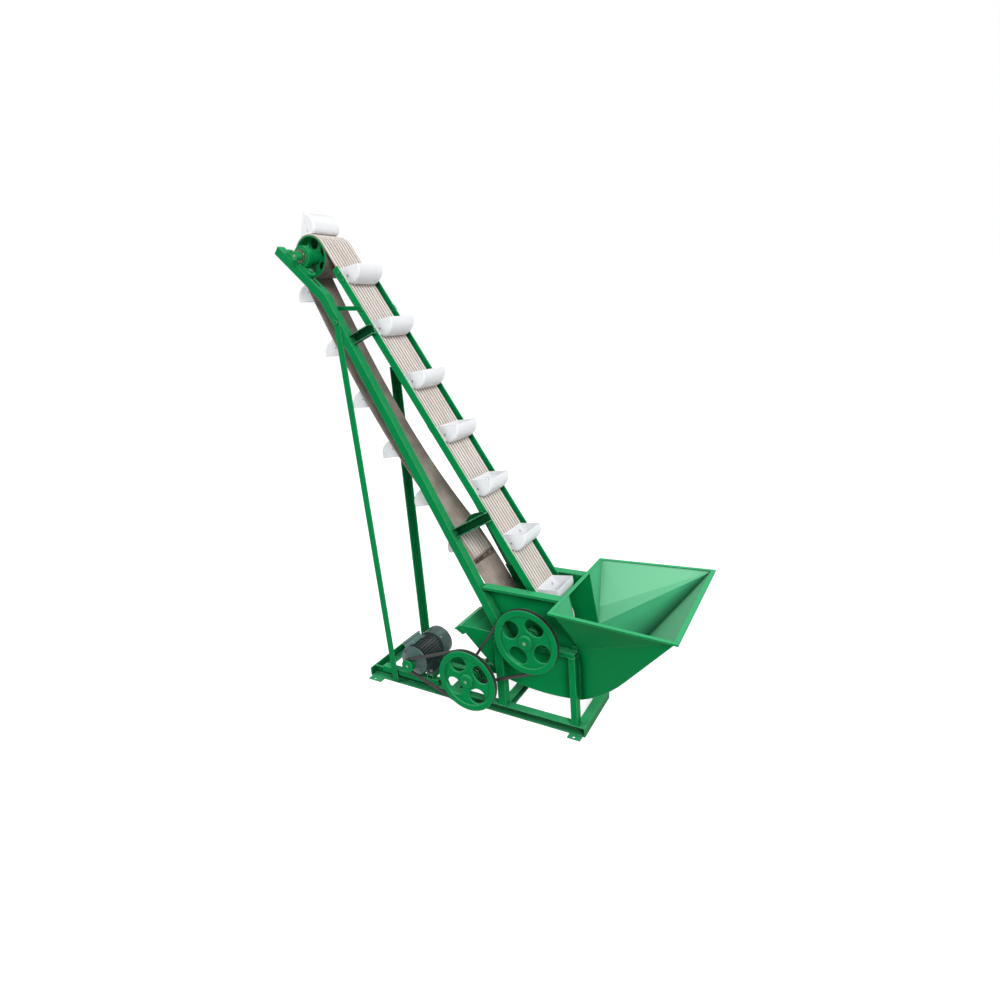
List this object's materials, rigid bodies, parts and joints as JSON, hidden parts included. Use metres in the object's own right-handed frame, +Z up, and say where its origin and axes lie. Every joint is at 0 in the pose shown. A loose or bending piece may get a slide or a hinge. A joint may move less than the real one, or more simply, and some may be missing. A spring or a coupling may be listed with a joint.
{
  "type": "tyre elevator",
  "caption": "Inclined bucket belt elevator with a feed hopper and open boot on a welded angle frame, driven by an electric motor through V-belts and a countershaft.",
  "frame": {"origin": "centre of the rectangle of the four floor anchor holes, on the floor", "axes": "+Z up, +X along the base towards the feed hopper, -Y the side with the drive belts"},
  "size_m": [1.8931, 0.682, 2.3236],
  "materials": {
    "green_paint": "satin",
    "green_castings": "satin",
    "green_bolts": "satin",
    "zinc_bolts": "satin",
    "shaft_steel": "satin",
    "motor_grey": "satin",
    "motor_dark": "satin",
    "drive_rubber": "matt",
    "belt_rubber": "matt",
    "bucket_plastic": "satin"
  },
  "bodies": {
    "frame": {"base_rail_near": "green_paint", "base_rail_far": "green_paint", "base_end_left": "green_paint", "base_end_right": "green_paint", "base_cross_members": "green_paint", "foot_tabs": "green_paint", "motor_bed_rails": "green_paint", "motor_slide_rails": "green_paint", "posts_near": "green_paint", "posts_far": "green_paint", "bearing_rail_near": "green_paint", "bearing_rail_far": "green_paint", "counter_stands": "green_paint", "back_leg_near": "green_paint", "back_leg_far": "green_paint", "lower_rail_near": "green_paint", "lower_rail_far": "green_paint", "upper_rail_near": "green_paint", "upper_rail_far": "green_paint", "short_rail_ties": "green_paint", "channel_ties": "green_paint", "belt_cross_ties": "green_paint", "boot_side_near": "green_paint", "boot_side_far": "green_paint", "boot_bottom": "green_paint", "scoop_lip": "green_paint", "boot_rims": "green_paint", "hopper_side_near": "green_paint", "hopper_side_far": "green_paint", "hopper_bottom": "green_paint", "hopper_rim": "green_paint", "boot_bearings": "green_castings", "counter_bearings": "green_castings", "head_bearings": "green_castings", "frame_bolts": "green_bolts", "bearing_bolts": "green_bolts", "motor_bolts": "zinc_bolts", "bucket_bolts": "zinc_bolts", "motor_end_shield": "motor_grey", "motor_cowl": "motor_grey", "motor_terminal_box": "motor_grey", "motor_frame": "motor_dark", "first_drive_belt": "drive_rubber", "second_drive_belt": "drive_rubber", "bucket_belt": "belt_rubber", "carrying_buckets": "bucket_plastic", "return_buckets": "bucket_plastic", "head_bucket": "bucket_plastic"},
    "boot_rotor": {"boot_shaft": "shaft_steel", "boot_v_pulley": "green_castings", "boot_drum": "green_paint"},
    "counter_rotor": {"counter_shaft": "shaft_steel", "counter_large_pulley": "green_castings", "counter_small_pulley": "green_castings"},
    "motor_rotor": {"motor_shaft": "shaft_steel", "motor_pulley": "green_castings"},
    "head_rotor": {"head_shaft": "shaft_steel", "head_drum": "green_paint"}
  },
  "joints": [
    {"name": "boot_spin", "type": "hinge", "parent": "frame", "child": "boot_rotor", "pos_m": [0.37, 0, 0.436], "axis": [0, -1, 0], "continuous": true},
    {"name": "counter_spin", "type": "hinge", "parent": "frame", "child": "counter_rotor", "pos_m": [0.065, 0, 0.188], "axis": [0, -1, 0], "continuous": true},
    {"name": "motor_spin", "type": "hinge", "parent": "frame", "child": "motor_rotor", "pos_m": [-0.28, 0, 0.182], "axis": [0, -1, 0], "continuous": true},
    {"name": "head_spin", "type": "hinge", "parent": "frame", "child": "head_rotor", "pos_m": [-0.6775, 0, 2.129], "axis": [0, -1, 0], "continuous": true}
  ],
  "couplings": [
    {"joint": "counter_spin", "follows": "boot_spin", "ratio": 4.0986},
    {"joint": "motor_spin", "follows": "boot_spin", "ratio": 22.503},
    {"joint": "head_spin", "follows": "boot_spin", "ratio": 1.0983}
  ]
}
